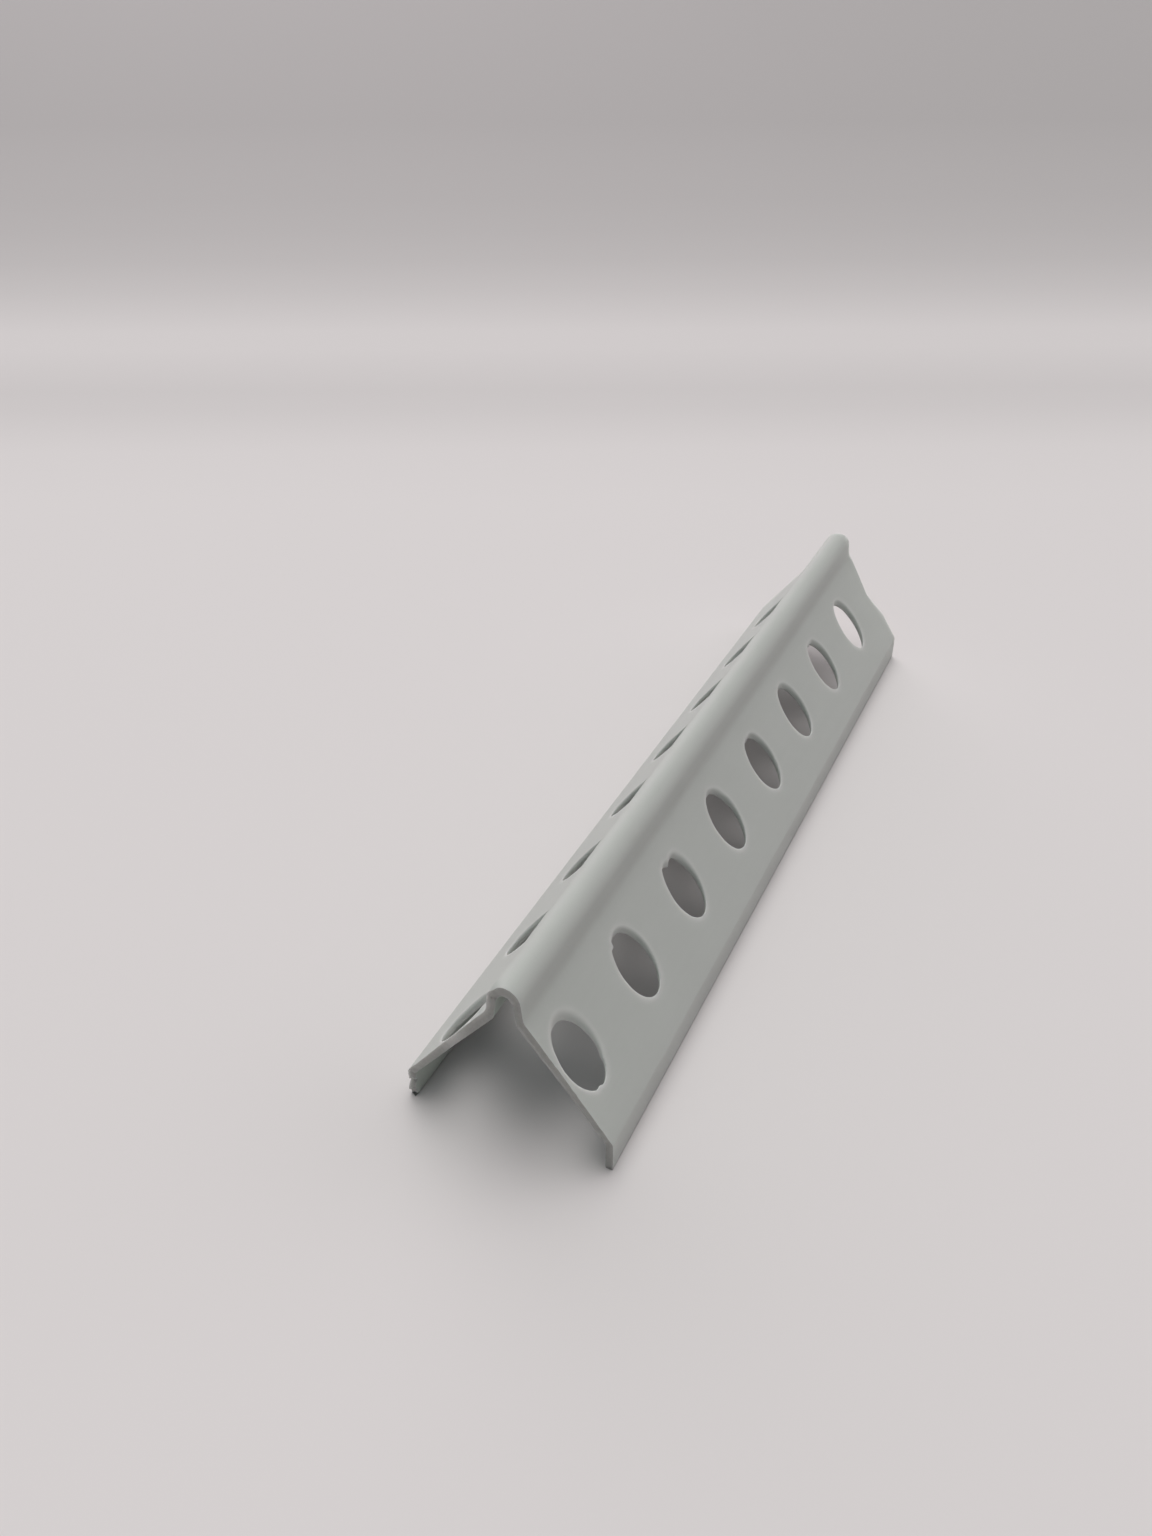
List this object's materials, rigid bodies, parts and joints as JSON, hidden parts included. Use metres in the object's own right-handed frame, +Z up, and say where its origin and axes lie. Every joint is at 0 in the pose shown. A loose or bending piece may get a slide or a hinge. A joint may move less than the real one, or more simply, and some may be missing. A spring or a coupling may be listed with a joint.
{
  "type": "corner guard moulding",
  "caption": "Cut-off of perforated plastic corner bead: two thin sloping legs with punched oval holes and turned-down lips, joined by a round raised nose.",
  "frame": {"origin": "on the floor, midway between the two lips and midway between the two cut ends, under the middle of the bounding box", "axes": "+Z up through the nose, +Y along the bead from the near cut end to the far one, +X across it to the right leg"},
  "size_m": [0.026, 0.1318, 0.0216],
  "materials": {
    "pvc": "matt, as extruded"
  },
  "bodies": {
    "root": {"corner_guard": "pvc"}
  },
  "joints": []
}
